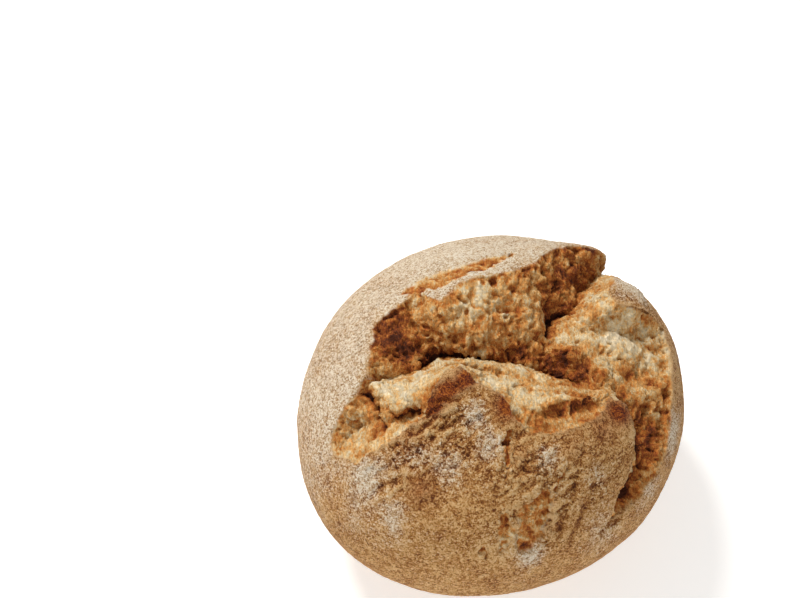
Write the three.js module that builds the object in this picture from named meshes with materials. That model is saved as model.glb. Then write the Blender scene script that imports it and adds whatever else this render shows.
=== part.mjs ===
// A rustic bread roll with a torn crown: one baked piece, made as one closed solid.
// Millimetres, +Z up. The roll stands on a small flat spot at z = 0, centred under its own box.
// The dough is a flattened ball. Its crown burst open in the oven: the crust at the left and back
// was lifted as a lid, the crust in front slid down as an apron, and the crumb shows between them.
import * as THREE from 'three';
import { mergeVertices } from 'three/addons/utils/BufferGeometryUtils.js';

// ---- the ball of dough ----
const longWidth = 100;        // widest, along the roll's long axis
const crossWidth = 90;        // widest, across that axis
const longAxisTurn = 40;      // degrees from +X to the long axis
const girthToCrown = 35;      // height of the crown above the widest girth
const girthToRest = 29;       // height of the widest girth above the flat spot
const sag = 3;                // how much deeper the ball would hang if the baking stone didn't stop it
const restRounding = 2;       // softness of the turn from the flat spot to the side
const fullness = 2.15;        // 2 is an ellipsoid, and more is boxier
const dimple = 0.6;           // slow unevenness of the hand-rolled dough

// ---- the tear ----
const creviceDepth = 11;      // deepest line, at the foot of the torn wall under the lid
const gullyDepth = 7;         // gully between the lid's peak and the crumb plateau
const sideDepth = 4.5;        // slit beside the apron's right edge
const plateauDepth = 4.5;     // crumb plateau on the right
const terraceDepth = 5;       // crumb terrace behind the apron
const pocketDepth = 2.5;      // shallow torn pockets at the left end
const lidRise = 2.5;          // how far the lid's torn peak stands above the ball
const lipRise = 2.5;          // how far the apron's torn lip stands above the ball
const edgeReach = 7;          // how far a raised edge lifts the crust behind it
const pull = 1.6;             // how firmly the crumb clings to its lines
const touching = 0.01;        // added to every distance, so that a point on a line still has a weight

const meshDetail = 21;        // subdivisions of each side of the icosahedron
const weldGap = 1e-5;         // corners of the unit icosahedron closer than this are one corner
const crustColour = 0xb98d5e;

// The tear is drawn on a map of the crown. Each point is [right, back, height above the ball],
// with right and back measured along the crust from the crown's centre.
const lidEdge = [
  [-48.5, -28, 0], [-46.5, -23, 0], [-43, -19, 0.3], [-39, -15.5, 0.5], [-36.5, -10, 0.8], [-36, 1, 1],
  [-32, 6, 1], [-24.5, 13.5, 1], [-21, 10, 0.7], [-17.5, 8, 0.7], [-12, 13, 1], [-7, 16, 1], [2, 17.5, 1],
  [12, 22, 1.5], [17, 29, 2], [24, 34, 2], [33, 38, lidRise], [39, 44, 1.5], [42, 55, 0],
];
const outerEdge = [
  [42, 55, 0], [47, 46, -0.5], [45, 39, -1.2], [40, 33, -1.2], [37, 26, -0.3], [35, 20, 0.8], [33.3, 15, 1.3],
  [34.5, 10.5, 1.5], [38, 9.8, 1.5], [42, 11, 1.2], [46, 12.5, 0.6], [53, 13, 0], [54, 3, 0], [54, -8, 0],
  [54, -20, 0], [54, -28, 0], [50.5, -37, 0], [45.5, -45, 0], [39.5, -52, 0], [33, -59, 0],
];
const apronEdge = [
  [33, -59, 0], [34, -50, 0.2], [36.5, -43.5, 0.2], [38, -36, 0.3], [37.5, -29, 0.6], [34.5, -23, 1],
  [30, -22, 0.5], [26, -28, 0.5], [20, -32, 0.3], [12, -35, 0], [5, -34, -0.5], [2, -30, 0],
  [-1, -25, 0.8], [-6, -22, 1.2], [-12, -17, lipRise], [-16, -18, 2], [-20, -23.5, 1], [-22.5, -28, 0],
  [-25.5, -30.5, 0], [-32, -33.5, 0], [-37, -34, 0], [-41, -36, 0], [-46, -32, 0], [-48.5, -28, 0],
];
const crumbLines = [
  // the crevice at the foot of the torn wall
  [[-38, -14, -3], [-30, -12, -7], [-23, -6, -9], [-8, -8, 1 - creviceDepth], [6, -8, 1 - creviceDepth],
    [17, -10, -creviceDepth], [26, -16, 1.5 - creviceDepth]],
  // the gully that leaves the crevice, rounds the plateau and crosses the back of the crown
  [[17, -10, -creviceDepth], [21, 3, -gullyDepth], [22, 14, -gullyDepth - 2], [29, 16, -gullyDepth],
    [32, 28, -gullyDepth], [38, 38, -3], [43, 48, -1.5]],
  // the slit beside the apron's right edge
  [[38, -18, -4], [44, -25, -sideDepth], [45.5, -31, -sideDepth], [45, -38, -sideDepth], [43, -44.5, -4],
    [39, -51.5, -3], [34.5, -57.5, -1]],
  // the plateau
  [[28, 4, -plateauDepth], [37, 6, -plateauDepth], [44, 6, 0.5 - plateauDepth], [49, 2, 1.5 - plateauDepth],
    [44, -10, -plateauDepth]],
  // the terrace
  [[-20, -12, 1 - terraceDepth], [0, -17, -terraceDepth], [14, -18, -terraceDepth], [26, -19, -terraceDepth]],
  // the strap of crumb between the crevice and the slit
  [[23, -6, -5.5], [28, -12, -5], [32, -18, -3.5], [35, -23, 0.5]],
  // the ridge along the top of the apron
  [[3, -31, 0], [8, -28, 0.3], [14, -26, 0.3], [22, -24, 0.5], [30, -21, 1]],
  // the ridge between the terrace and the left pockets, and the pockets
  [[-37, -16, -0.5], [-31, -22, -0.5], [-25, -23, 0], [-19, -20, 1.5], [-12, -17, lipRise]],
  [[-43, -27, -pocketDepth], [-37, -26, -pocketDepth], [-28, -28, -pocketDepth]],
];
// Round lumps on the crust and in the crumb: [right, back, radius, height].
const crustLumps = [[41, 18, 6, 2]];
const crumbLumps = [[24, -6, 4, 3], [-4, 4, 8, 1.5], [10, 8, 7, 1.8], [-24, 1, 6, 1]];
const tearEdge = [...lidEdge, ...outerEdge, ...apronEdge];

const mapRadius = (longWidth + crossWidth) / 4;
const turn = THREE.MathUtils.degToRad(longAxisTurn);

// The smaller of a and b, rounded over where they come within `soft` of each other.
function softMin(a, b, soft) {
  const overlap = Math.max(soft - Math.abs(a - b), 0) / soft;
  return Math.min(a, b) - overlap * overlap * soft / 4;
}

// Distance from the middle of the girth to the ball's surface, along a direction.
function ballRadius(direction) {
  const along = direction.x * Math.cos(turn) + direction.y * Math.sin(turn);
  const across = direction.y * Math.cos(turn) - direction.x * Math.sin(turn);
  const halfHeight = direction.z > 0 ? girthToCrown : girthToRest + sag;
  const girth = Math.hypot(along / (longWidth / 2), across / (crossWidth / 2));
  const shape = girth ** fullness + Math.abs(direction.z / halfHeight) ** fullness;
  const waves = Math.sin(3 * direction.x + 1) * Math.sin(4 * direction.y + 2) * Math.cos(3 * direction.z);
  const ball = shape ** (-1 / fullness) + dimple * waves;
  return direction.z < 0 ? softMin(ball, -girthToRest / direction.z, restRounding) : ball;
}

// Distance from a map point to a line, and the line's height at its nearest point.
function nearestOnLine(line, right, back) {
  let nearest = { distance: Infinity, height: 0 };
  for (let i = 1; i < line.length; i += 1) {
    const [startRight, startBack, startHeight] = line[i - 1];
    const [endRight, endBack, endHeight] = line[i];
    const runRight = endRight - startRight;
    const runBack = endBack - startBack;
    const lengthSquared = runRight ** 2 + runBack ** 2 || 1;
    const dot = (right - startRight) * runRight + (back - startBack) * runBack;
    const share = THREE.MathUtils.clamp(dot / lengthSquared, 0, 1);
    const distance = Math.hypot(right - startRight - share * runRight, back - startBack - share * runBack);
    if (distance < nearest.distance) {
      nearest = { distance, height: startHeight + share * (endHeight - startHeight) };
    }
  }
  return nearest;
}

// True where a map point lies in the tear.
function isTorn(right, back) {
  let torn = false;
  tearEdge.forEach(([cornerRight, cornerBack], i) => {
    const [nextRight, nextBack] = tearEdge[(i + 1) % tearEdge.length];
    const straddles = (cornerBack > back) !== (nextBack > back);
    const share = (back - cornerBack) / (nextBack - cornerBack || 1);
    if (straddles && right < cornerRight + share * (nextRight - cornerRight)) torn = !torn;
  });
  return torn;
}

// Summed height of round lumps at a map point.
function lumpHeight(lumps, right, back) {
  return lumps.reduce((sum, [lumpRight, lumpBack, radius, height]) => (
    sum + height * Math.exp(-((Math.hypot(right - lumpRight, back - lumpBack) / radius) ** 2))
  ), 0);
}

// Height of the roll's surface above the ball. In the tear the crumb is a skin stretched between the
// lines, and outside it the crust rises gently to the torn edge.
function reliefAt(right, back) {
  const edge = nearestOnLine(tearEdge, right, back);
  if (!isTorn(right, back)) {
    return edge.height * Math.exp(-((edge.distance / edgeReach) ** 2)) + lumpHeight(crustLumps, right, back);
  }
  let weightSum = 0;
  let heightSum = 0;
  for (const near of [edge, ...crumbLines.map((line) => nearestOnLine(line, right, back))]) {
    const weight = 1 / (near.distance + touching) ** pull;
    weightSum += weight;
    heightSum += weight * near.height;
  }
  return heightSum / weightSum + lumpHeight(crumbLumps, right, back);
}

// Where the surface lies in a direction from the middle of the girth.
function surfacePoint(direction) {
  const mapDistance = mapRadius * Math.acos(THREE.MathUtils.clamp(direction.z, -1, 1));
  const bearing = Math.atan2(direction.y, direction.x);
  const relief = reliefAt(mapDistance * Math.cos(bearing), mapDistance * Math.sin(bearing));
  return direction.clone().multiplyScalar(ballRadius(direction) + relief);
}

function makeRoll() {
  const geodesic = new THREE.IcosahedronGeometry(1, meshDetail);
  geodesic.deleteAttribute('normal');
  geodesic.deleteAttribute('uv');
  const geometry = mergeVertices(geodesic, weldGap);
  const positions = geometry.getAttribute('position');
  const direction = new THREE.Vector3();
  for (let i = 0; i < positions.count; i += 1) {
    direction.fromBufferAttribute(positions, i).normalize();
    const point = surfacePoint(direction);
    positions.setXYZ(i, point.x, point.y, point.z);
  }
  geometry.computeBoundingBox();
  const centre = geometry.boundingBox.getCenter(new THREE.Vector3());
  geometry.translate(-centre.x, -centre.y, girthToRest);
  geometry.computeVertexNormals();
  const crust = new THREE.MeshStandardMaterial({ color: crustColour, roughness: 0.9, metalness: 0 });
  const roll = new THREE.Mesh(geometry, crust);
  roll.name = 'bread_roll';
  return roll;
}

const group = new THREE.Group();
group.name = 'bread_roll_part';
group.add(makeRoll());

export default group;
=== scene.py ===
"""The looks of a rustic bread roll: its crust, flour and torn crumb, its light and its camera.

The roll is one mesh. A ball of unit directions is cut finer where the roll is torn, each direction is
pushed out to the roll's surface, and noise then roughens crust and crumb. Lengths are in millimetres
until the mesh is made, and in metres after that.
"""

import math

import bmesh
import bpy
import numpy as np
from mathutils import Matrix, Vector


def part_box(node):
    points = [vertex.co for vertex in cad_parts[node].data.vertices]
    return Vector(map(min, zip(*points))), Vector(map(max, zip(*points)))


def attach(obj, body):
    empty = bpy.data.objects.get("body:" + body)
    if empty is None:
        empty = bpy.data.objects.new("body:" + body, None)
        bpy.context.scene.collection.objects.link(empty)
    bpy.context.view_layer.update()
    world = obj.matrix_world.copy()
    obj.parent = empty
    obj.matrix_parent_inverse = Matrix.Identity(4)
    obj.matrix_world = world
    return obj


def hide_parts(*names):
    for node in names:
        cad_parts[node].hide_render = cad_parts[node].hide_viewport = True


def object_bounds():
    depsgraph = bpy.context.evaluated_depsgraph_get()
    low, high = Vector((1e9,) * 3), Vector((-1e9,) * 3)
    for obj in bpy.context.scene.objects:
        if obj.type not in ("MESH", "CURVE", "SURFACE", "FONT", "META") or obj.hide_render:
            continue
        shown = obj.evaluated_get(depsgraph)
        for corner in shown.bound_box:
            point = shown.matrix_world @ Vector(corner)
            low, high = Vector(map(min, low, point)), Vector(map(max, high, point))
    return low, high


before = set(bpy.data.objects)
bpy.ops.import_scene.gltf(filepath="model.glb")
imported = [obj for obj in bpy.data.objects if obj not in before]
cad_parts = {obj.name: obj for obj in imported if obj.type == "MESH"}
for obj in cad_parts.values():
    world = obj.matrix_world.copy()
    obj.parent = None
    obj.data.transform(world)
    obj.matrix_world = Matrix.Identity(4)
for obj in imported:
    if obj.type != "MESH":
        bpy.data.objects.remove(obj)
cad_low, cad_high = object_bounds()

NODE = "bread_roll"
MM = 0.001
SEED = 437

# ---- the ball of dough, as in the CAD part ----
LONG_WIDTH = 100.0
CROSS_WIDTH = 90.0
LONG_AXIS_TURN = math.radians(40)
GIRTH_TO_CROWN = 35.0
GIRTH_TO_REST = 29.0
SAG = 3.0
REST_ROUNDING = 2.0
FULLNESS = 2.15
DIMPLE = 0.6
MAP_RADIUS = (LONG_WIDTH + CROSS_WIDTH) / 4

# ---- the tear ----
CREVICE_DEPTH = 11.0
GULLY_DEPTH = 7.0
SIDE_DEPTH = 4.5
PLATEAU_DEPTH = 4.5
TERRACE_DEPTH = 5.0
POCKET_DEPTH = 2.5
LID_RISE = 2.5
LIP_RISE = 2.5
EDGE_REACH = 7.0
PULL = 1.6
TOUCHING = 0.01              # added to every distance, so that a point on a line still has a weight
CRUST_THICKNESS = 0.9
CRUST_EDGE_WIDTH = 0.8       # how far in from the tear's edge the crust's thickness is lost
RAG = 0.8                    # how far torn lines wander
RAG_LENGTH = 5.5             # length of one wander
FRAY = 0.9                   # how far the edges of small tears wander
FRAY_LENGTH = 2.4

# Points are [right, back, height above the ball] on a map of the crown, in millimetres along the crust.
LID_EDGE = [
    [-48.5, -28, 0], [-46.5, -23, 0], [-43, -19, 0.3], [-39, -15.5, 0.5], [-36.5, -10, 0.8], [-36, 1, 1],
    [-32, 6, 1], [-24.5, 13.5, 1], [-21, 10, 0.7], [-17.5, 8, 0.7], [-12, 13, 1], [-7, 16, 1], [2, 17.5, 1],
    [12, 22, 1.5], [17, 29, 2], [24, 34, 2], [33, 38, LID_RISE], [39, 44, 1.5], [42, 55, 0],
]
OUTER_EDGE = [
    [42, 55, 0], [47, 46, -0.5], [45, 39, -1.2], [40, 33, -1.2], [37, 26, -0.3], [35, 20, 0.8],
    [33.3, 15, 1.3], [34.5, 10.5, 1.5], [38, 9.8, 1.5], [42, 11, 1.2], [46, 12.5, 0.6], [53, 13, 0],
    [54, 3, 0], [54, -8, 0], [54, -20, 0], [54, -28, 0], [50.5, -37, 0], [45.5, -45, 0], [39.5, -52, 0],
    [33, -59, 0],
]
APRON_EDGE = [
    [33, -59, 0], [34, -50, 0.2], [36.5, -43.5, 0.2], [38, -36, 0.3], [37.5, -29, 0.6], [34.5, -23, 1],
    [30, -22, 0.5], [26, -28, 0.5], [20, -32, 0.3], [12, -35, 0], [5, -34, -0.5], [2, -30, 0],
    [-1, -25, 0.8], [-6, -22, 1.2], [-12, -17, LIP_RISE], [-16, -18, 2], [-20, -23.5, 1], [-22.5, -28, 0],
    [-25.5, -30.5, 0], [-32, -33.5, 0], [-37, -34, 0], [-41, -36, 0], [-46, -32, 0], [-48.5, -28, 0],
]
CREVICE = [
    [-38, -14, -3], [-30, -12, -7], [-23, -6, -9], [-8, -8, 1 - CREVICE_DEPTH], [6, -8, 1 - CREVICE_DEPTH],
    [17, -10, -CREVICE_DEPTH], [26, -16, 1.5 - CREVICE_DEPTH],
]
GULLY = [
    [17, -10, -CREVICE_DEPTH], [21, 3, -GULLY_DEPTH], [22, 14, -GULLY_DEPTH - 2], [29, 16, -GULLY_DEPTH],
    [32, 28, -GULLY_DEPTH], [38, 38, -3], [43, 48, -1.5],
]
SIDE_SLIT = [
    [38, -18, -4], [44, -25, -SIDE_DEPTH], [45.5, -31, -SIDE_DEPTH], [45, -38, -SIDE_DEPTH], [43, -44.5, -4],
    [39, -51.5, -3], [34.5, -57.5, -1],
]
PLATEAU = [
    [28, 4, -PLATEAU_DEPTH], [37, 6, -PLATEAU_DEPTH], [44, 6, 0.5 - PLATEAU_DEPTH],
    [49, 2, 1.5 - PLATEAU_DEPTH], [44, -10, -PLATEAU_DEPTH],
]
TERRACE = [
    [-20, -12, 1 - TERRACE_DEPTH], [0, -17, -TERRACE_DEPTH], [14, -18, -TERRACE_DEPTH],
    [26, -19, -TERRACE_DEPTH],
]
STRAP = [[23, -6, -5.5], [28, -12, -5], [32, -18, -3.5], [35, -23, 0.5]]
APRON_RIDGE = [[3, -31, 0], [8, -28, 0.3], [14, -26, 0.3], [22, -24, 0.5], [30, -21, 1]]
POCKET_RIDGE = [[-37, -16, -0.5], [-31, -22, -0.5], [-25, -23, 0], [-19, -20, 1.5], [-12, -17, LIP_RISE]]
POCKETS = [[-43, -27, -POCKET_DEPTH], [-37, -26, -POCKET_DEPTH], [-28, -28, -POCKET_DEPTH]]
CRUMB_LINES = [CREVICE, GULLY, SIDE_SLIT, PLATEAU, TERRACE, STRAP, APRON_RIDGE, POCKET_RIDGE, POCKETS]
TEAR_EDGE = LID_EDGE + OUTER_EDGE + APRON_EDGE

# Narrow slots: a line, its half width, its extra depth, and how far it cuts in under [right, back].
SLOTS = [
    (CREVICE[1:], 1.4, 1.8, [0, 1.8]),
    (GULLY[1:4], 1.6, 1.5, [-0.8, 1.0]),
    (SIDE_SLIT[1:], 1.6, 1.5, [0, 0]),
    ([[-39.5, -18, 0], [-37, -23.5, 0], [-34.5, -28.5, 0]], 1.5, 1.8, [0, 0.3]),
    ([[-31, -26.5, 0], [-25, -27.5, 0]], 1.1, 1.8, [0, 0.6]),
]
# Small tears in the crust: a line of [right, back, half width], and the tear's depth.
SMALL_TEARS = [
    ([[-26, 14, 2.6], [-17.5, 18.2, 4.0], [-11, 20.6, 3.6], [-3, 23.6, 2.8], [5.6, 28, 1.4]], 0.7),
    ([[11, -50, 2.6], [7.5, -55, 4.6], [6, -61, 3.0]], 1.7),
    ([[-1, -54, 1.0], [0, -58, 2.3], [-2, -62, 1.3]], 0.9),
    ([[0.5, -35, 0.7], [-0.5, -41, 1.2]], 1.0),
    ([[-7, -62, 0.9], [-6.5, -62.6, 0.9]], 1.2),
    ([[17, -42, 0.7], [14, -47, 0.6]], 0.5),
]
# Soft grooves in the crust: a line of [right, back, half width], and the groove's depth.
GROOVES = [
    ([[21, -38, 1.4], [18, -48, 2.2], [16, -58, 1.4]], 0.5),
    ([[27, -42, 1.4], [24, -52, 2.0], [21, -60, 1.4]], 0.4),
    ([[-8, -30, 0.8], [-4, -36, 1.2]], 0.6),
]
# Bumps in the crumb, or pits where the height is negative: [right, back, radius, height].
CRUMB_BUMPS = [
    [22, 15, 2.2, -3.5], [29, 15, 1.8, -3], [21, -11, 2.0, -2], [24, -6, 4, 3],
    [-33, -27, 3, 1.0], [-44, -26, 2.5, -1.0], [34, -12, 2.5, 2], [40, 20, 5, 1.5], [-4, 4, 8, 1.5],
    [10, 8, 7, 1.8], [-24, 1, 6, 1.0],
]
# Bumps in the crust: [right, back, radius, height].
CRUST_BUMPS = [[41, 18, 6, 2.0], [-14, -24, 5, 0.8], [20, -38, 7, 0.6], [33, -30, 4, 0.6]]

# ---- where flour, browning, toast and roughness lie: [right, back, radius, strength] on the same map ----
FLOUR_PLACES = [
    [-5, 32, 24, 0.13], [-38, -39, 6, 0.66], [8, -64, 5, 0.70], [-4, -37, 3.6, 0.60], [11, -39.5, 4, 0.55],
    [54, -22, 8, 0.60], [49, -42, 7, 0.45], [40, 20, 8, 0.70], [-31, -50, 4.5, 0.55], [26, -42, 4, 0.30],
    [34, -58, 8, 0.35], [-25, -37, 4, 0.50], [-9, -30, 4, 0.62], [-16, -41, 5, 0.45], [-44, -48, 6, 0.25],
]
BROWN_PLACES = [
    [-19.5, -26.5, 2.8, 1.3], [-15.5, -23, 2.8, 1.4], [-10.5, -20.5, 2.8, 1.3], [0, -28, 3.6, 1.2],
    [32, -25.5, 3.6, 1.2], [27, -31, 3, 0.6], [18, -36, 4, 0.3], [40, -38, 2.5, 0.5], [-23, -45, 4, 0.6],
    [9, -56, 5, 0.5], [4, -40, 4, 0.3], [-26, -34, 4, 0.35],
]
TOAST_PLACES = [
    [-34, -3, 6, 0.42], [-30, 4, 5, 0.18], [14, 25, 8, 0.22], [28, 31, 9, 0.34], [29, -14, 5, 0.28],
    [23, -7, 4, 0.34], [22, 12, 5, 0.20], [46, -28, 9, 0.34], [48, -8, 6, 0.16], [30, -10, 3.5, 0.20],
    [14, -32, 5, 0.16], [22, -25, 8, 0.26], [-8, -12, 12, -0.06], [8, -15, 9, -0.04], [-30, -18, 7, -0.10],
    [-21.5, -24, 2.4, 0.22], [-18.5, -20.5, 2.4, 0.22], [-14, -16, 3, 0.25], [-8, -19, 2.5, 0.15],
    [-6, 8, 9, -0.08], [40, 3, 9, -0.18], [-43, -25, 4, -0.14], [-37, -29, 4, 0.16],
]
# Where the crust was pulled, and is wrinkled and flaking.
ROUGH_PLACES = [
    [-18, -30, 14, 1.0], [-32, -38, 9, 0.6], [6, -42, 10, 0.8], [10, -56, 9, 0.7], [26, -42, 9, 0.5],
    [42, 22, 8, 0.5],
]
# Where torn crumb lies flat and even.
CALM_PLACES = [[40, 2, 10, 0.85]]

# ---- how much flour, browning and toast there is elsewhere, and painted shade in the slots, from 0 to 1 ----
CRUST_FLOUR = 0.17
LID_FLOUR = 0.70
UNDERSIDE_FLOUR = 0.35       # share of the flour that is left underneath
UNDERSIDE_FADE = 0.5         # z of a direction, up and down, over which that share is reached
LID_BACK, LID_RIGHT, LID_START = 0.75, -0.66, 8      # direction towards the lid, and where the lid starts
LID_FADE = (-12, 6)          # distances past that start over which the lid's flour begins
PATCHY_FLOUR = 0.10
BLOWN = 1.6                  # how far noise moves the flour's places
EDGE_BROWN, EDGE_BROWN_WIDTH = 0.35, 0.8
CRUMB_TOAST = 0.16
WALL_TOAST = 0.24
EDGE_TOAST, EDGE_TOAST_WIDTH = 0.14, 1.4
PATCHY_TOAST = 0.13
# painted shade: torn crumb in the narrow slots is darkened, standing in for the shadow down in them
SLOT_SHADE = 0.55
SMALL_TEAR_TOAST = 0.14
SMALL_TEAR_WALL = 0.7        # how much a small tear is like the wall under the lid
SMALL_TEAR_CRUMB = 0.6       # share of the crumb's relief in a small tear

# ---- relief ----
CRUMB_FADE = 1.0             # how far in from the tear's edge the crumb's relief reaches its full height
CRUST_STARTS, CRUST_FULL = 0.3, 4        # heights above the flat spot over which the crust's relief begins
WALL_SLOPE = (-0.05, 0.30)   # how far a place faces front, over which it turns from terrace into wall
TORN_FADE = 0.4              # width of the change of colour at the tear's edge
SMALL_TEAR_SHOWS = (0.15, 0.75)          # share of small tear over which the crumb's colour begins
# painted light and shade: proud places are painted lighter and hollows darker, strongly on crust, weakly on
# crumb
PROUD_CRUST, PROUD_CRUMB = 3, 1          # how strongly a proud place counts on crust and on crumb
WALL_ROUNDS = 14             # rounds of averaging that soften where the wall begins
BROAD_ROUNDS = 16            # rounds of averaging behind how proud a place stands
FOLD_ALONG, FOLD_ACROSS = 0.92, 0.39     # direction of the folds in the crust

# ---- mesh ----
START_LEVEL = 6              # subdivisions of the first ball
TORN_STEP = 0.34             # longest edge in the tear
ROUGH_STEP = 0.42            # longest edge where the crust is rough
CRUST_STEP = 0.60            # longest edge on the crust
UNDER_STEP = 1.6             # longest edge underneath
NEAR_EDGE = 1.5              # crust this close to the tear's edge is cut as finely as the tear
NEAR_SMALL_TEAR = 0.05       # share of small tear from which it is cut as finely as the tear
ROUGH_FROM, ROUGH_FULLY = 0.1, 0.4       # roughness over which the step shrinks to the rough one
UNDER_FROM, UNDER_FULLY = -0.45, -0.75   # z of a direction over which the step grows to the one underneath
SLACK = 1.33                 # an edge is cut once it is this many times too long
CUT_ROUNDS = 8               # most rounds of cutting


def smooth(low, high, value):
    share = np.clip((value - low) / (high - low), 0, 1)
    return share * share * (3 - 2 * share)


def mix(a, b, share):
    return a + (b - a) * share


# ---- seeded noise ----

def hash_cells(cells, seed):
    """Three numbers from 0 to 1 for each whole-number cell."""
    x, y, z = (cells[:, i].astype(np.uint32) for i in range(3))
    mixed = x * np.uint32(73856093) ^ y * np.uint32(19349663) ^ z * np.uint32(83492791)
    mixed ^= np.uint32(seed * 2654435761 & 0xFFFFFFFF)
    numbers = []
    for step in (0x9E3779B9, 0x85EBCA6B, 0xC2B2AE35):
        mixed = (mixed ^ (mixed >> np.uint32(15))) * np.uint32(0x2C1B3C6D)
        mixed = (mixed ^ (mixed >> np.uint32(12))) * np.uint32(0x297A2D39) + np.uint32(step)
        mixed ^= mixed >> np.uint32(15)
        numbers.append(mixed.astype(np.float64) / 0xFFFFFFFF)
    return np.stack(numbers, axis=1)


def gradient_noise(points, seed):
    """Perlin-like noise of about -1 to 1."""
    base = np.floor(points).astype(np.int64)
    inside = points - base
    fade = inside ** 3 * (inside * (inside * 6 - 15) + 10)
    total = np.zeros(len(points))
    for corner in np.ndindex(2, 2, 2):
        offset = np.array(corner)
        slope = hash_cells(base + offset, seed) * 2 - 1
        weight = np.prod(np.where(offset == 1, fade, 1 - fade), axis=1)
        total += weight * np.sum(slope * (inside - offset), axis=1)
    return total * 1.6


def layered_noise(points, wavelength, layers, seed, gain=0.5):
    total = np.zeros(len(points))
    strength = 1.0
    for layer in range(layers):
        total += strength * gradient_noise(points / wavelength + 7.3 * layer, seed + layer)
        strength *= gain
        wavelength /= 2.03
    return total


def ridged_noise(points, wavelength, layers, seed):
    """Noise of about 0 to 1 with thin high creases."""
    total = np.zeros(len(points))
    strength = 0.5
    for layer in range(layers):
        total += strength * (1 - np.abs(gradient_noise(points / wavelength + 3.1 * layer, seed + layer)))
        strength *= 0.5
        wavelength /= 2.1
    return total


def cell_noise(points, size, seed):
    """Distance to the nearest cell centre in cells, and a random number for that cell."""
    scaled = points / size
    base = np.floor(scaled).astype(np.int64)
    nearest = np.full(len(points), 9.0)
    lot = np.zeros(len(points))
    for offset in np.ndindex(3, 3, 3):
        cell = base + np.array(offset) - 1
        jitter = hash_cells(cell, seed)
        distance = np.linalg.norm(cell + jitter - scaled, axis=1)
        closer = distance < nearest
        nearest[closer] = distance[closer]
        lot[closer] = (jitter[closer, 0] * 7.13 + jitter[closer, 1] * 3.77) % 1.0
    return nearest, lot


# ---- the roll's large shape ----

def soft_min(a, b, soft):
    overlap = np.maximum(soft - np.abs(a - b), 0) / soft
    return np.minimum(a, b) - overlap * overlap * soft / 4


def ball_radius(directions):
    """Distance from the middle of the girth to the ball, along each direction."""
    x, y, z = directions.T
    along = x * math.cos(LONG_AXIS_TURN) + y * math.sin(LONG_AXIS_TURN)
    across = y * math.cos(LONG_AXIS_TURN) - x * math.sin(LONG_AXIS_TURN)
    half_height = np.where(z > 0, GIRTH_TO_CROWN, GIRTH_TO_REST + SAG)
    girth = np.hypot(along / (LONG_WIDTH / 2), across / (CROSS_WIDTH / 2))
    shape = girth ** FULLNESS + np.abs(z / half_height) ** FULLNESS
    waves = np.sin(3 * x + 1) * np.sin(4 * y + 2) * np.cos(3 * z)
    ball = shape ** (-1 / FULLNESS) + DIMPLE * waves
    floor = GIRTH_TO_REST / np.maximum(-z, 1e-6)
    return np.where(z < 0, soft_min(ball, floor, REST_ROUNDING), ball)


def nearest_on_line(line, right, back):
    """Distance from each map point to a line, and the line's height at the nearest place."""
    nearest = np.full(len(right), np.inf)
    height = np.zeros(len(right))
    for (r0, b0, h0), (r1, b1, h1) in zip(line, line[1:]):
        run_right, run_back = r1 - r0, b1 - b0
        length_squared = max(run_right ** 2 + run_back ** 2, 1e-9)
        share = np.clip(((right - r0) * run_right + (back - b0) * run_back) / length_squared, 0, 1)
        distance = np.hypot(right - r0 - share * run_right, back - b0 - share * run_back)
        closer = distance < nearest
        nearest[closer] = distance[closer]
        height[closer] = h0 + share[closer] * (h1 - h0)
    return nearest, height


def is_inside(outline, right, back):
    inside = np.zeros(len(right), bool)
    for (r0, b0, _), (r1, b1, _) in zip(outline, outline[1:] + outline[:1]):
        straddles = (b0 > back) != (b1 > back)
        share = (back - b0) / ((b1 - b0) or 1)
        inside ^= straddles & (right < r0 + share * (r1 - r0))
    return inside


def places_share(places, right, back):
    """Sum of soft round patches. Each place is [right, back, radius, strength]."""
    total = np.zeros(len(right))
    for place_right, place_back, radius, strength in places:
        gap = np.hypot(right - place_right, back - place_back) / radius
        total += strength * np.exp(-gap * gap)
    return total


def crown_map(directions):
    """Map position of each direction: right and back of the crown's centre, along the crust."""
    distance = MAP_RADIUS * np.arccos(np.clip(directions[:, 2], -1, 1))
    bearing = np.arctan2(directions[:, 1], directions[:, 0])
    return distance * np.cos(bearing), distance * np.sin(bearing)


def ragged_map(directions):
    """The map with its places shifted a little by noise, which makes straight torn lines ragged."""
    right, back = crown_map(directions)
    places = directions * MAP_RADIUS
    right = right + RAG * layered_noise(places, RAG_LENGTH, 4, SEED + 1, 0.65)
    back = back + RAG * layered_noise(places, RAG_LENGTH, 4, SEED + 5, 0.65)
    return right, back


def relief(directions):
    """Height above the ball, whether torn, and the distance from the tear's edge."""
    right, back = ragged_map(directions)
    edge_distance, edge_height = nearest_on_line(TEAR_EDGE, right, back)
    torn = is_inside(TEAR_EDGE, right, back)
    crust_height = edge_height * np.exp(-((edge_distance / EDGE_REACH) ** 2))
    crust_height += places_share(CRUST_BUMPS, right, back)
    for line, depth in GROOVES:
        distance, half_width = nearest_on_line(line, right, back)
        crust_height -= depth * np.exp(-((distance / half_width) ** 2))
    weight_sum = 1 / (edge_distance + TOUCHING) ** PULL
    height_sum = weight_sum * edge_height
    for line in CRUMB_LINES:
        distance, height = nearest_on_line(line, right, back)
        weight = 1 / (distance + TOUCHING) ** PULL
        weight_sum += weight
        height_sum += weight * height
    crumb_height = height_sum / weight_sum - CRUST_THICKNESS * smooth(0, CRUST_EDGE_WIDTH, edge_distance)
    crumb_height += places_share(CRUMB_BUMPS, right, back)
    return np.where(torn, crumb_height, crust_height), torn, edge_distance


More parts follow.
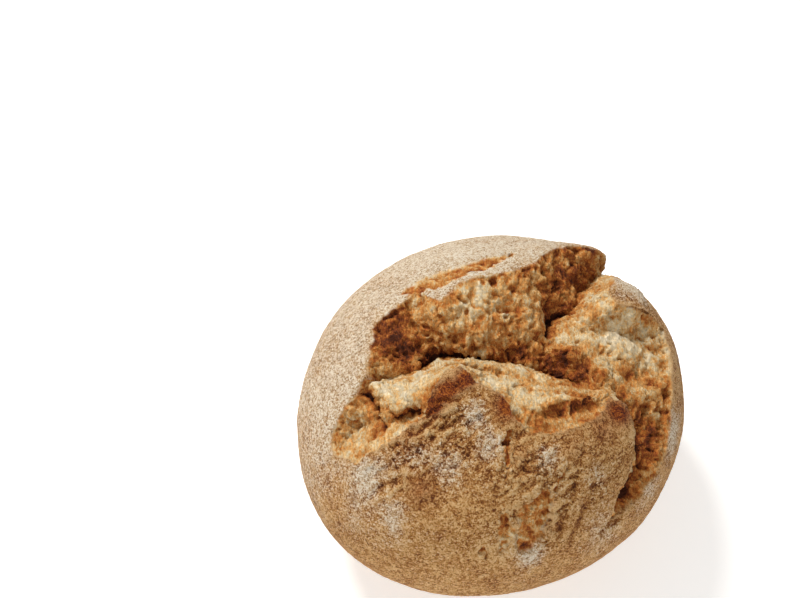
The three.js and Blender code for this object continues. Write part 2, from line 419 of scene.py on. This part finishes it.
def cut_in(directions):
    """How far slots and small tears move each place, and how much each place is slot and small tear."""
    right, back = ragged_map(directions)
    shift = np.zeros_like(directions)
    slot = np.zeros(len(directions))
    for line, half_width, depth, (under_right, under_back) in SLOTS:
        share = np.exp(-((nearest_on_line(line, right, back)[0] / half_width) ** 2))
        shift += share[:, None] * (np.array([under_right, under_back, 0]) - depth * directions)
        slot = np.maximum(slot, share)
    small = np.zeros(len(directions))
    fray = FRAY * layered_noise(directions * MAP_RADIUS, FRAY_LENGTH, 3, SEED + 9, 0.6)
    for line, depth in SMALL_TEARS:
        distance, half_width = nearest_on_line(line, right, back)
        share = np.exp(-((np.maximum(distance + fray, 0) / half_width) ** 4))
        shift -= (depth * share)[:, None] * directions
        small = np.maximum(small, share)
    return shift, small, slot


def large_shape(directions):
    height, torn, edge_distance = relief(directions)
    shift, small, slot = cut_in(directions)
    points = directions * (ball_radius(directions) + height)[:, None] + shift
    return points, torn, edge_distance, small, slot


# ---- the mesh ----

def first_ball():
    ball = bmesh.new()
    bmesh.ops.create_icosphere(ball, subdivisions=START_LEVEL, radius=1)
    directions = np.array([v.co for v in ball.verts])
    faces = np.array([[v.index for v in f.verts] for f in ball.faces])
    ball.free()
    return directions / np.linalg.norm(directions, axis=1)[:, None], faces


def longest_edge_allowed(directions, torn, edge_distance, small):
    near_tear = torn | (edge_distance < NEAR_EDGE) | (small > NEAR_SMALL_TEAR)
    rough = places_share(ROUGH_PLACES, *crown_map(directions))
    rough_share = smooth(ROUGH_FROM, ROUGH_FULLY, rough)
    under_share = smooth(UNDER_FROM, UNDER_FULLY, directions[:, 2])
    step = np.where(near_tear, TORN_STEP, mix(CRUST_STEP, ROUGH_STEP, rough_share))
    return np.where(near_tear, step, mix(step, UNDER_STEP, under_share))


def split_long_edges(directions, faces):
    """Cuts every edge that is too long at its middle. Neighbours share each cut, so no gap opens."""
    points, torn, edge_distance, small, _ = large_shape(directions)
    allowed = longest_edge_allowed(directions, torn, edge_distance, small)
    count = len(directions)
    ends = np.sort(faces[:, [[0, 1], [1, 2], [2, 0]]], axis=2)
    keys = ends[..., 0] * count + ends[..., 1]
    edges, edge_of = np.unique(keys, return_inverse=True)
    edge_of = edge_of.reshape(-1, 3)
    start, end = edges // count, edges % count
    length = np.linalg.norm(points[start] - points[end], axis=1)
    cut = length > SLACK * np.minimum(allowed[start], allowed[end])
    middle = np.full(len(edges), -1)
    middle[cut] = count + np.arange(cut.sum())
    added = directions[start[cut]] + directions[end[cut]]
    added /= np.linalg.norm(added, axis=1)[:, None]
    cuts = cut[edge_of]
    number = cuts.sum(axis=1)
    made = [faces[number == 0]]
    for wanted in (1, 2, 3):
        chosen = number == wanted
        corner, mid = turned(faces[chosen], middle[edge_of[chosen]], cuts[chosen], wanted)
        a, b, c = corner.T
        ab, bc, ca = mid.T
        pieces = {
            1: [(a, ab, c), (ab, b, c)],
            2: [(ab, b, bc), (a, ab, bc), (a, bc, c)],
            3: [(a, ab, ca), (ab, b, bc), (ca, bc, c), (ab, bc, ca)],
        }[wanted]
        made += [np.stack(piece, axis=1) for piece in pieces]
    return np.vstack([directions, added]), np.vstack(made), int(cut.sum())


def turned(corners, middles, cuts, number):
    """Turns each face so that its cut edges come first: edge 0 for one cut, edges 0 and 1 for two."""
    corners, middles = corners.copy(), middles.copy()
    for shift in (1, 2):
        if number == 1:
            wanted = cuts[:, shift]
        elif number == 2:
            wanted = ~cuts[:, shift - 1]
        else:
            continue
        corners[wanted] = np.roll(corners[wanted], -shift, axis=1)
        middles[wanted] = np.roll(middles[wanted], -shift, axis=1)
    return corners, middles


def fine_ball():
    directions, faces = first_ball()
    for _ in range(CUT_ROUNDS):
        directions, faces, cut = split_long_edges(directions, faces)
        if cut == 0:
            break
    return directions, faces


def vertex_normals(points, faces):
    a, b, c = (points[faces[:, i]] for i in range(3))
    face_normals = np.cross(b - a, c - a)
    normals = np.zeros_like(points)
    for i in range(3):
        np.add.at(normals, faces[:, i], face_normals)
    return normals / np.linalg.norm(normals, axis=1)[:, None]


# ---- the finer shape ----

def local_average(values, faces, rounds):
    """Each vertex's value averaged with its neighbours', again and again."""
    ends = np.concatenate([faces[:, [0, 1]], faces[:, [1, 2]], faces[:, [2, 0]]])
    number = np.bincount(ends[:, 0], minlength=len(values)) + 1
    for _ in range(rounds):
        gathered = np.bincount(ends[:, 0], weights=values[ends[:, 1]], minlength=len(values))
        values = (gathered + values) / number
    return values


# Heights of the crumb's lumps, clumps, flakes, strands, pits and pores, on the wall and on the terraces.
COARSE_CRUMB = (1.0, 0.8, 2.2, 0.9, -1.6, -0.9)
FINE_CRUMB = (0.5, 0.35, 0.7, 0.5, -0.3, -0.6)


def crumb_relief(points, right, back, wall):
    """Lumps, strands and pores of torn crumb. The wall under the lid is coarser than the terraces."""
    warp = [layered_noise(points, 4.5, 2, SEED + seed, 0.6) for seed in (11, 14, 17)]
    bent = points + 1.3 * np.stack(warp, axis=1)
    flow = np.stack([right, back * 0.7, points[:, 2]], axis=1) + 1.3 * np.stack(warp, axis=1)
    lumps = layered_noise(bent, 7.0, 2, SEED + 20, 0.6)
    clumps = layered_noise(bent, 3.0, 3, SEED + 24, 0.6)
    flakes = ridged_noise(flow, 3.6, 4, SEED + 40) - 0.62
    strands = ridged_noise(flow, 1.2, 2, SEED + 44) - 0.5
    holes, hole_lot = cell_noise(bent, 5.2, SEED + 30)
    pits = smooth(0.42, 0.10, holes) * (hole_lot > 0.55)
    pores, pore_lot = cell_noise(bent, 1.9, SEED + 34)
    pores = smooth(0.48, 0.12, pores) * (pore_lot > 0.5)
    layers = (lumps, clumps, flakes, strands, pits, pores)
    coarse = sum(height * layer for height, layer in zip(COARSE_CRUMB, layers))
    fine = sum(height * layer for height, layer in zip(FINE_CRUMB, layers))
    return mix(fine, coarse, wall)


def crust_relief(points, right, back, rough):
    """Smooth where the dough stayed whole, and wrinkled and flaking where it was pulled."""
    swells = 0.30 * layered_noise(points, 15, 2, SEED + 50)
    grain = 0.08 * layered_noise(points, 1.6, 3, SEED + 60, 0.8)
    along = FOLD_ALONG * right + FOLD_ACROSS * back
    across = FOLD_ALONG * back - FOLD_ACROSS * right
    slanted = np.stack([0.25 * along, across, 0.5 * points[:, 2]], axis=1)
    slanted += 0.6 * layered_noise(points, 4, 2, SEED + 62)[:, None]
    folds = ridged_noise(slanted, 2.2, 3, SEED + 64) - 0.68
    bent = points + 0.5 * layered_noise(points, 1.6, 2, SEED + 66)[:, None]
    plates, plate_lot = cell_noise(bent, 2.3, SEED + 68)
    flakes = smooth(0.66, 0.54, plates) * np.maximum(plate_lot - 0.5, 0)
    crumbs = ridged_noise(points, 1.0, 2, SEED + 70) - 0.5
    rubble = 2.1 * folds + 0.9 * flakes + 0.30 * crumbs
    return swells + grain * (1 + rough) + rough * rubble + 0.06 * crumbs


def roughen(directions, faces):
    points, torn, edge_distance, small, slot = large_shape(directions)
    normals = vertex_normals(points, faces)
    right, back = crown_map(directions)
    # depth below the ball, used only for painted shade: deep crumb is painted darker
    depth = ball_radius(directions) - np.linalg.norm(points, axis=1)
    torn_share = np.where(torn, smooth(0, CRUMB_FADE, edge_distance), 0)
    clear_of_rest = smooth(CRUST_STARTS - GIRTH_TO_REST, CRUST_FULL - GIRTH_TO_REST, points[:, 2])
    wall = smooth(*WALL_SLOPE, -normals[:, 1]) * torn
    wall = local_average(wall.astype(float), faces, WALL_ROUNDS)
    wall *= 1 - places_share(CALM_PLACES, right, back)
    wall = np.maximum(wall, SMALL_TEAR_WALL * small * ~torn)
    rough = np.clip(places_share(ROUGH_PLACES, right, back), 0, 1)

    crumb = crumb_relief(points, right, back, wall)
    crust = crust_relief(points, right, back, rough) * clear_of_rest
    amount = mix(crust, crumb, np.maximum(torn_share, SMALL_TEAR_CRUMB * small))
    shaped = points + normals * amount[:, None]
    # How far each place stands out of its neighbourhood; it paints ridges lighter and hollows darker, as
    # painted light and shade.
    broad = np.stack([local_average(shaped[:, i], faces, BROAD_ROUNDS) for i in range(3)], axis=1)
    proud = np.sum((shaped - broad) * normals, axis=1)

    flour = flour_cover(directions, right, back)
    edge_brown = EDGE_BROWN * np.exp(-edge_distance / EDGE_BROWN_WIDTH)
    # the crumb's toast, plus painted shade that darkens it in the narrow slots
    toast = crumb_toast(right, back, edge_distance, wall, points) + SLOT_SHADE * slot * torn_share
    in_tear = np.where(torn, smooth(0, TORN_FADE, edge_distance), 0)
    return shaped, {
        "torn": np.maximum(in_tear, smooth(*SMALL_TEAR_SHOWS, small)),
        "proud": np.clip(proud * mix(PROUD_CRUST, PROUD_CRUMB, torn_share), -1, 1),
        "flour": flour,
        "brown": np.clip(places_share(BROWN_PLACES, right, back) + edge_brown, 0, 1),
        "rough": rough,
        # toast holds the crumb's browning and also the painted shade in the slots
        "toast": np.clip(toast + SMALL_TEAR_TOAST * small * ~torn, 0, 1),
        # painted shade: the deeper the crumb lies, the darker it is painted
        "depth": np.clip(depth / CREVICE_DEPTH, 0, 1),
    }


def flour_cover(directions, right, back):
    """How much flour lies on the crust, from 0 to 1."""
    lid_side = smooth(*LID_FADE, back * LID_BACK + right * LID_RIGHT - LID_START)
    high = smooth(-UNDERSIDE_FADE, UNDERSIDE_FADE, directions[:, 2])
    cover = mix(CRUST_FLOUR, LID_FLOUR, lid_side) * mix(UNDERSIDE_FLOUR, 1, high)
    places = directions * MAP_RADIUS
    blown = [BLOWN * layered_noise(places, 5, 3, SEED + seed, 0.6) for seed in (82, 85)]
    patches = layered_noise(places, 12, 3, SEED + 80, 0.55)
    dusted = places_share(FLOUR_PLACES, right + blown[0], back + blown[1])
    return np.clip(cover + PATCHY_FLOUR * patches + dusted, 0, 1)


def crumb_toast(right, back, edge_distance, wall, points):
    """How brown torn crumb is, from 0, pale, to 1, scorched."""
    toast = CRUMB_TOAST + WALL_TOAST * wall + places_share(TOAST_PLACES, right, back)
    toast += EDGE_TOAST * np.exp(-edge_distance / EDGE_TOAST_WIDTH)
    toast += PATCHY_TOAST * layered_noise(points, 5, 3, SEED + 90, 0.6)
    return np.clip(toast, 0, 1)


def flat_spot_kept(points):
    points[:, 2] = np.maximum(points[:, 2], -GIRTH_TO_REST)
    return points


def into_frame(points, directions):
    """Moves the roll to where the CAD roll is: its large shape fills the CAD box."""
    shape = directions * (ball_radius(directions) + relief(directions)[0])[:, None]
    middle = (shape.min(axis=0) + shape.max(axis=0)) / 2
    low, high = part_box(NODE)
    target = (np.array(low) + np.array(high)) / 2 / MM
    shift = np.array([target[0] - middle[0], target[1] - middle[1], low[2] / MM + GIRTH_TO_REST])
    return points + shift, shift


# The two discs of the bake map, across the unit square, and the tilt from upright that parts them.
BAKE_SPLIT = math.radians(115)
TOP_DISC, TOP_DISC_RADIUS = 0.42, 0.40
UNDER_DISC, UNDER_DISC_RADIUS = 0.86, 0.125


def bake_map(directions, faces):
    """A place in the unit square for each corner: a big disc for the top, a small one for the underside."""
    tilt = np.arccos(np.clip(directions[:, 2], -1, 1))
    bearing = np.arctan2(directions[:, 1], directions[:, 0])
    spread = TOP_DISC_RADIUS * tilt / BAKE_SPLIT
    top = np.stack([TOP_DISC + spread * np.cos(bearing), TOP_DISC + spread * np.sin(bearing)], axis=1)
    spread = UNDER_DISC_RADIUS * (math.pi - tilt) / (math.pi - BAKE_SPLIT)
    under = np.stack([UNDER_DISC + spread * np.cos(bearing), UNDER_DISC - spread * np.sin(bearing)], axis=1)
    is_under = tilt[faces].mean(axis=1) > BAKE_SPLIT
    return np.where(is_under[:, None, None], under[faces], top[faces])


def make_roll():
    directions, faces = fine_ball()
    points, looks = roughen(directions, faces)
    points, shift = into_frame(flat_spot_kept(points), directions)
    mesh = bpy.data.meshes.new("roll")
    mesh.from_pydata((points * MM).tolist(), [], faces.tolist())
    mesh.polygons.foreach_set("use_smooth", np.ones(len(faces), bool))
    for name, values in looks.items():
        attribute = mesh.attributes.new(name, "FLOAT", "POINT")
        attribute.data.foreach_set("value", values.astype(np.float32))
    uv = mesh.uv_layers.new(name="OFBake")
    uv.data.foreach_set("uv", bake_map(directions, faces).astype(np.float32).ravel())
    roll = bpy.data.objects.new("roll", mesh)
    bpy.context.collection.objects.link(roll)
    return roll, shift


# ---- stage, in metres, and in millimetres for the camera ----

FLOOR_SIZE = 6
FLOOR_COLOUR = (0.86, 0.86, 0.85, 1)
FLOOR_GLOW = 0.4
FLOOR_ROUGHNESS = 0.9
WHITE = (1, 1, 1, 1)
WORLD_LIGHT = 0.39
LIT_POINT = (0, 0, 0.03)
CAMERA_DISTANCE = 249.0
CAMERA_ELEVATION = math.radians(50)
CAMERA_LEFT = 22.4           # puts the roll right of the frame's middle
CAMERA_RISE = 26.9           # puts the roll below the frame's middle
CAMERA_LENS = 45
SENSOR_WIDTH = 36
NEAREST_SEEN = 0.01


def make_floor():
    bpy.ops.mesh.primitive_plane_add(size=FLOOR_SIZE, location=(0, 0, cad_low.z))
    floor = bpy.context.object
    floor.name = "floor"
    material = bpy.data.materials.new("pale_floor")
    material.use_nodes = True
    shader = material.node_tree.nodes["Principled BSDF"]
    shader.inputs["Base Color"].default_value = FLOOR_COLOUR
    shader.inputs["Roughness"].default_value = FLOOR_ROUGHNESS
    shader.inputs["Emission Color"].default_value = WHITE
    shader.inputs["Emission Strength"].default_value = FLOOR_GLOW
    floor.data.materials.append(material)


def add_light(name, place, size, power, colour):
    data = bpy.data.lights.new(name, "AREA")
    data.shape = "DISK"
    data.size = size
    data.energy = power
    data.color = colour
    light = bpy.data.objects.new(name, data)
    light.location = place
    light.rotation_euler = (Vector(LIT_POINT) - Vector(place)).to_track_quat("-Z", "Y").to_euler()
    bpy.context.collection.objects.link(light)


def make_lights():
    world = bpy.data.worlds.new("studio")
    bpy.context.scene.world = world
    world.use_nodes = True
    background = world.node_tree.nodes["Background"]
    background.inputs["Color"].default_value = WHITE
    background.inputs["Strength"].default_value = WORLD_LIGHT
    add_light("key", place=(-0.28, 0.34, 0.66), size=0.25, power=6.0, colour=(1, 0.98, 0.95))
    add_light("fill", place=(-0.1, -0.7, 0.5), size=0.6, power=2.7, colour=(1, 0.97, 0.93))


def make_camera(shift):
    right = Vector((1, 0, 0))
    forward = Vector((0, math.cos(CAMERA_ELEVATION), -math.sin(CAMERA_ELEVATION)))
    up = right.cross(forward)
    girth_centre = Vector(shift)
    place = girth_centre - forward * CAMERA_DISTANCE - right * CAMERA_LEFT + up * CAMERA_RISE
    data = bpy.data.cameras.new("camera")
    data.lens = CAMERA_LENS
    data.sensor_width = SENSOR_WIDTH
    camera = bpy.data.objects.new("camera", data)
    camera.location = place * MM
    camera.rotation_euler = forward.to_track_quat("-Z", "Y").to_euler()
    data.clip_start = NEAREST_SEEN
    bpy.context.collection.objects.link(camera)
    bpy.context.scene.camera = camera


# ---- material ----

def shade(red, green, blue):
    """A colour of 0 to 255 as the shader wants it."""
    linear = [((c / 255 + 0.055) / 1.055) ** 2.4 for c in (red, green, blue)]
    return (*linear, 1)


class Nodes:
    """Short names for the shader nodes that the material is made of."""

    def __init__(self, tree):
        self.tree = tree

    def add(self, kind, **settings):
        node = self.tree.nodes.new("ShaderNode" + kind)
        for name, value in settings.items():
            setattr(node, name, value)
        return node

    def join(self, value, socket):
        if isinstance(value, bpy.types.NodeSocket):
            self.tree.links.new(value, socket)
        else:
            socket.default_value = value

    def attribute(self, name):
        return self.add("Attribute", attribute_name=name).outputs["Fac"]

    def noise(self, where, millimetres, detail=3.0, roughness=0.6, distortion=0.0):
        node = self.add("TexNoise")
        self.join(where, node.inputs["Vector"])
        node.inputs["Scale"].default_value = 1 / (millimetres * MM)
        node.inputs["Detail"].default_value = detail
        node.inputs["Roughness"].default_value = roughness
        node.inputs["Distortion"].default_value = distortion
        return node.outputs["Fac"]

    def turned(self, where, rotation, scale):
        node = self.add("Mapping")
        self.join(where, node.inputs["Vector"])
        node.inputs["Rotation"].default_value = rotation
        node.inputs["Scale"].default_value = scale
        return node.outputs["Vector"]

    def shaken(self, where, millimetres, amount):
        """The same place, moved a little by noise: amount is in millimetres."""
        node = self.add("TexNoise")
        self.join(where, node.inputs["Vector"])
        node.inputs["Scale"].default_value = 1 / (millimetres * MM)
        node.inputs["Detail"].default_value = 2
        moved = self.add("VectorMath", operation="MULTIPLY_ADD")
        self.join(node.outputs["Color"], moved.inputs[0])
        moved.inputs[1].default_value = (amount * MM,) * 3
        self.join(where, moved.inputs[2])
        return moved.outputs["Vector"]

    def hairs(self, where, rotation):
        """Thin stretched lines, 1 on the line and 0 beside it."""
        wave = self.noise(self.turned(where, rotation, (1.0, 0.25, 0.6)), 1.1, 2, 0.6, 0.5)
        off_line = self.math("ABSOLUTE", self.math("SUBTRACT", wave, 0.5))
        return self.step(off_line, 0.030, 0.004)

    def lots(self, where, millimetres):
        """A random number for each small cell, which reads as separate grains."""
        node = self.add("TexVoronoi")
        self.join(where, node.inputs["Vector"])
        node.inputs["Scale"].default_value = 1 / (millimetres * MM)
        apart = self.add("SeparateColor")
        self.join(node.outputs["Color"], apart.inputs["Color"])
        return apart.outputs["Red"]

    def cracks(self, where, millimetres):
        """Thin lines between cells, 1 on the line and 0 beside it."""
        node = self.add("TexVoronoi", feature="DISTANCE_TO_EDGE")
        self.join(where, node.inputs["Vector"])
        node.inputs["Scale"].default_value = 1 / (millimetres * MM)
        return self.step(node.outputs["Distance"], 0.13, 0.02)

    def cells(self, where, millimetres):
        """Distance from the nearest cell's centre."""
        node = self.add("TexVoronoi")
        self.join(where, node.inputs["Vector"])
        node.inputs["Scale"].default_value = 1 / (millimetres * MM)
        return node.outputs["Distance"]

    def math(self, operation, a, b=0.0, clamp=False):
        node = self.add("Math", operation=operation, use_clamp=clamp)
        self.join(a, node.inputs[0])
        self.join(b, node.inputs[1])
        return node.outputs["Value"]

    def weigh(self, *terms):
        """Sum of (value, weight) pairs and plain numbers."""
        total = 0.0
        for term in terms:
            part = self.math("MULTIPLY", *term) if isinstance(term, tuple) else term
            total = self.math("ADD", part, total)
        return total

    def step(self, value, low, high):
        node = self.add("MapRange", interpolation_type="SMOOTHSTEP")
        self.join(value, node.inputs["Value"])
        node.inputs["From Min"].default_value = low
        node.inputs["From Max"].default_value = high
        return node.outputs["Result"]

    def ramp(self, value, stops):
        node = self.add("ValToRGB")
        self.join(value, node.inputs["Fac"])
        elements = node.color_ramp.elements
        while len(elements) < len(stops):
            elements.new(0.5)
        for element, (place, colour) in zip(elements, stops):
            element.position = place
            element.color = shade(*colour)
        return node.outputs["Color"]

    def blend(self, share, first, second):
        node = self.add("Mix", data_type="RGBA")
        self.join(share, node.inputs["Factor"])
        for value, name in ((first, "A"), (second, "B")):
            socket = [s for s in node.inputs if s.name == name and s.type == "RGBA"][0]
            self.join(value, socket)
        return [s for s in node.outputs if s.type == "RGBA"][0]


# Colours of 0 to 255, each with its place on a scale of tone.
CRUST_STOPS = [(0.24, (92, 46, 14)), (0.42, (156, 96, 42)), (0.55, (200, 142, 74)), (0.74, (236, 196, 138))]
BROWN_STOPS = [(0.26, (54, 18, 5)), (0.50, (132, 56, 15)), (0.74, (200, 116, 40))]
CRUMB_STOPS = [
    (0.00, (246, 228, 194)), (0.20, (236, 206, 154)), (0.38, (220, 164, 94)), (0.56, (196, 120, 50)),
    (0.76, (146, 72, 26)), (0.95, (78, 36, 16)),
]
FLOUR_STOPS = [(0.26, (172, 132, 88)), (0.44, (218, 188, 146)), (0.64, (246, 234, 214))]
BUMP_HEIGHT = 0.9
DULLNESS = 0.80
GLOSS = 0.25


def shared_textures(n, where):
    """The fine patterns that crust and crumb both use."""
    shaken = n.shaken(where, millimetres=0.8, amount=0.5)
    return {
        "shaken": shaken,
        "speck": n.noise(where, millimetres=0.34, detail=3, roughness=0.9),
        "dust": n.noise(where, millimetres=1.5, detail=5, roughness=0.8),
        "grit": n.noise(where, millimetres=0.3, detail=3, roughness=0.7),
        "grain": n.lots(shaken, millimetres=0.42),
    }


def crust_look(n, where, fine):
    """Colour and height of whole crust, with the flour that lies on it."""
    flour, brown, proud = n.attribute("flour"), n.attribute("brown"), n.attribute("proud")
    speck, dust, grain = fine["speck"], fine["dust"], fine["grain"]
    mottle = n.noise(where, millimetres=4.5, detail=4, roughness=0.6)
    crumbs = n.lots(fine["shaken"], millimetres=1.1)

    lines = n.cracks(n.shaken(where, millimetres=1.4, amount=1.6), millimetres=2.6)
    cracked = n.math("MULTIPLY", lines, n.attribute("rough"))
    some_places = n.step(n.noise(where, millimetres=6.0, detail=2, roughness=0.5), 0.44, 0.56)
    cracked = n.math("MULTIPLY", cracked, some_places)

    grains = n.weigh((speck, 1.5), (grain, 0.30), (mottle, 0.46), -0.65)
    # proud paints ridges lighter and hollows darker in the crust's tone and its flour: painted light and
    # shade
    tone = n.weigh((grains, 1.0), (proud, 0.24), (cracked, -0.16), 0.05)
    crust = n.blend(brown, n.ramp(tone, CRUST_STOPS), n.ramp(grains, BROWN_STOPS))
    cover = n.weigh(
        (flour, 1.0), (dust, 0.7), (speck, 1.25), (grain, 0.24), (proud, 0.20), (brown, -0.9),
        (cracked, -0.30), -1.145,
    )
    flour_tone = n.weigh((dust, 0.40), (speck, 1.7), (grain, 0.30), (flour, 0.32), -0.93)
    colour = n.blend(n.step(cover, 0.15, 0.85), crust, n.ramp(flour_tone, FLOUR_STOPS))
    height = n.weigh(
        (speck, 0.7), (fine["grit"], 0.4), (dust, 0.15), (grain, 0.10), (crumbs, 0.05), (cracked, -0.7),
    )
    return colour, height


def crumb_look(n, where, fine):
    """Colour and height of torn crumb."""
    toast, proud, depth = n.attribute("toast"), n.attribute("proud"), n.attribute("depth")
    shaken, speck, grain = fine["shaken"], fine["speck"], fine["grain"]
    stretched = (1.0, 0.3, 0.4)
    across, along = (
        n.noise(n.turned(where, turn, stretched), millimetres=0.34, detail=3, roughness=0.8, distortion=0.6)
        for turn in ((0.4, 0.2, 0.5), (0.2, 0.9, -0.6))
    )
    fibre = n.weigh((across, 0.5), (along, 0.5))
    hair = n.math("MAXIMUM", n.hairs(shaken, (0.5, 0.3, 0.9)), n.hairs(shaken, (-0.6, 1.0, -0.4)))
    patch = n.noise(n.shaken(where, millimetres=2.5, amount=2.0), millimetres=3.0, detail=4, roughness=0.7)
    tone = n.weigh(
        # painted light and shade: proud crumb is painted lighter, crumb in hollows darker
        (toast, 1.0), (proud, -0.18), (fibre, -0.8), (hair, -0.14), (grain, 0.10), (patch, 1.3),
        # painted shade: depth darkens crumb that lies deep
        (depth, 0.22), (speck, 0.2), -0.36,
    )
    pores = n.cells(where, millimetres=0.8)
    height = n.weigh((fibre, 0.8), (hair, 0.30), (pores, 0.35), (fine["grit"], 0.2), (grain, 0.08))
    return n.ramp(tone, CRUMB_STOPS), height


def baked_dough():
    material = bpy.data.materials.new("baked_dough")
    material.use_nodes = True
    n = Nodes(material.node_tree)
    shader = material.node_tree.nodes["Principled BSDF"]
    where = n.add("TexCoord").outputs["Object"]
    torn = n.attribute("torn")
    fine = shared_textures(n, where)
    crust_colour, crust_height = crust_look(n, where, fine)
    crumb_colour, crumb_height = crumb_look(n, where, fine)
    n.join(n.blend(torn, crust_colour, crumb_colour), shader.inputs["Base Color"])

    height = n.add("Mix", data_type="FLOAT")
    n.join(torn, height.inputs["Factor"])
    n.join(crust_height, height.inputs["A"])
    n.join(crumb_height, height.inputs["B"])
    bump = n.add("Bump")
    bump.inputs["Strength"].default_value = 1.0
    bump.inputs["Distance"].default_value = BUMP_HEIGHT * MM
    n.join(height.outputs["Result"], bump.inputs["Height"])
    n.join(bump.outputs["Normal"], shader.inputs["Normal"])
    n.join(n.weigh((fine["speck"], 0.15), DULLNESS), shader.inputs["Roughness"])
    shader.inputs["Specular IOR Level"].default_value = GLOSS
    return material


bpy.context.scene.view_settings.view_transform = "Standard"
roll, roll_shift = make_roll()
roll.data.materials.append(baked_dough())
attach(roll, "root")
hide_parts(NODE)
make_floor()
make_lights()
make_camera(roll_shift)
